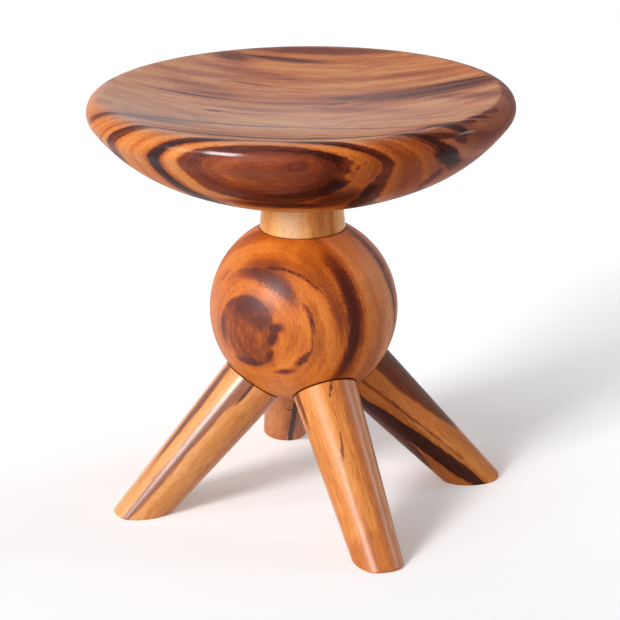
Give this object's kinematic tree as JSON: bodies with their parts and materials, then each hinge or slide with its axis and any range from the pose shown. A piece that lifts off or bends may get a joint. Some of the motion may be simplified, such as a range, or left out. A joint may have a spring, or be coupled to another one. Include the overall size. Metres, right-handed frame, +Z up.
{
  "type": "stool",
  "caption": "Round wooden stool: a dished, bowl-shaped seat on a short turned neck, a ball hub and splayed tapered legs.",
  "frame": {"origin": "on the floor, under the middle of the seat", "axes": "+Z up along the stool's middle line; +X towards the right leg, +Y towards the back leg"},
  "size_m": [0.4, 0.4002, 0.4061],
  "materials": {
    "seat_wood": "satin-gloss clear lacquer over streaked hardwood",
    "neck_wood": "satin-gloss clear lacquer over pale straight-grained hardwood",
    "ball_wood": "satin-gloss clear lacquer over streaked hardwood",
    "dark_leg_wood": "satin-gloss clear lacquer over streaked hardwood",
    "pale_leg_wood": "satin-gloss clear lacquer over streaked hardwood",
    "dowel_wood": "bare beech, glued"
  },
  "bodies": {
    "root": {"seat": "seat_wood", "neck": "neck_wood", "ball": "ball_wood", "leg_right": "dark_leg_wood", "leg_back": "dark_leg_wood", "leg_left": "pale_leg_wood", "leg_front": "pale_leg_wood", "dowel_right": "dowel_wood", "dowel_back": "dowel_wood", "dowel_left": "dowel_wood", "dowel_front": "dowel_wood"}
  },
  "joints": []
}
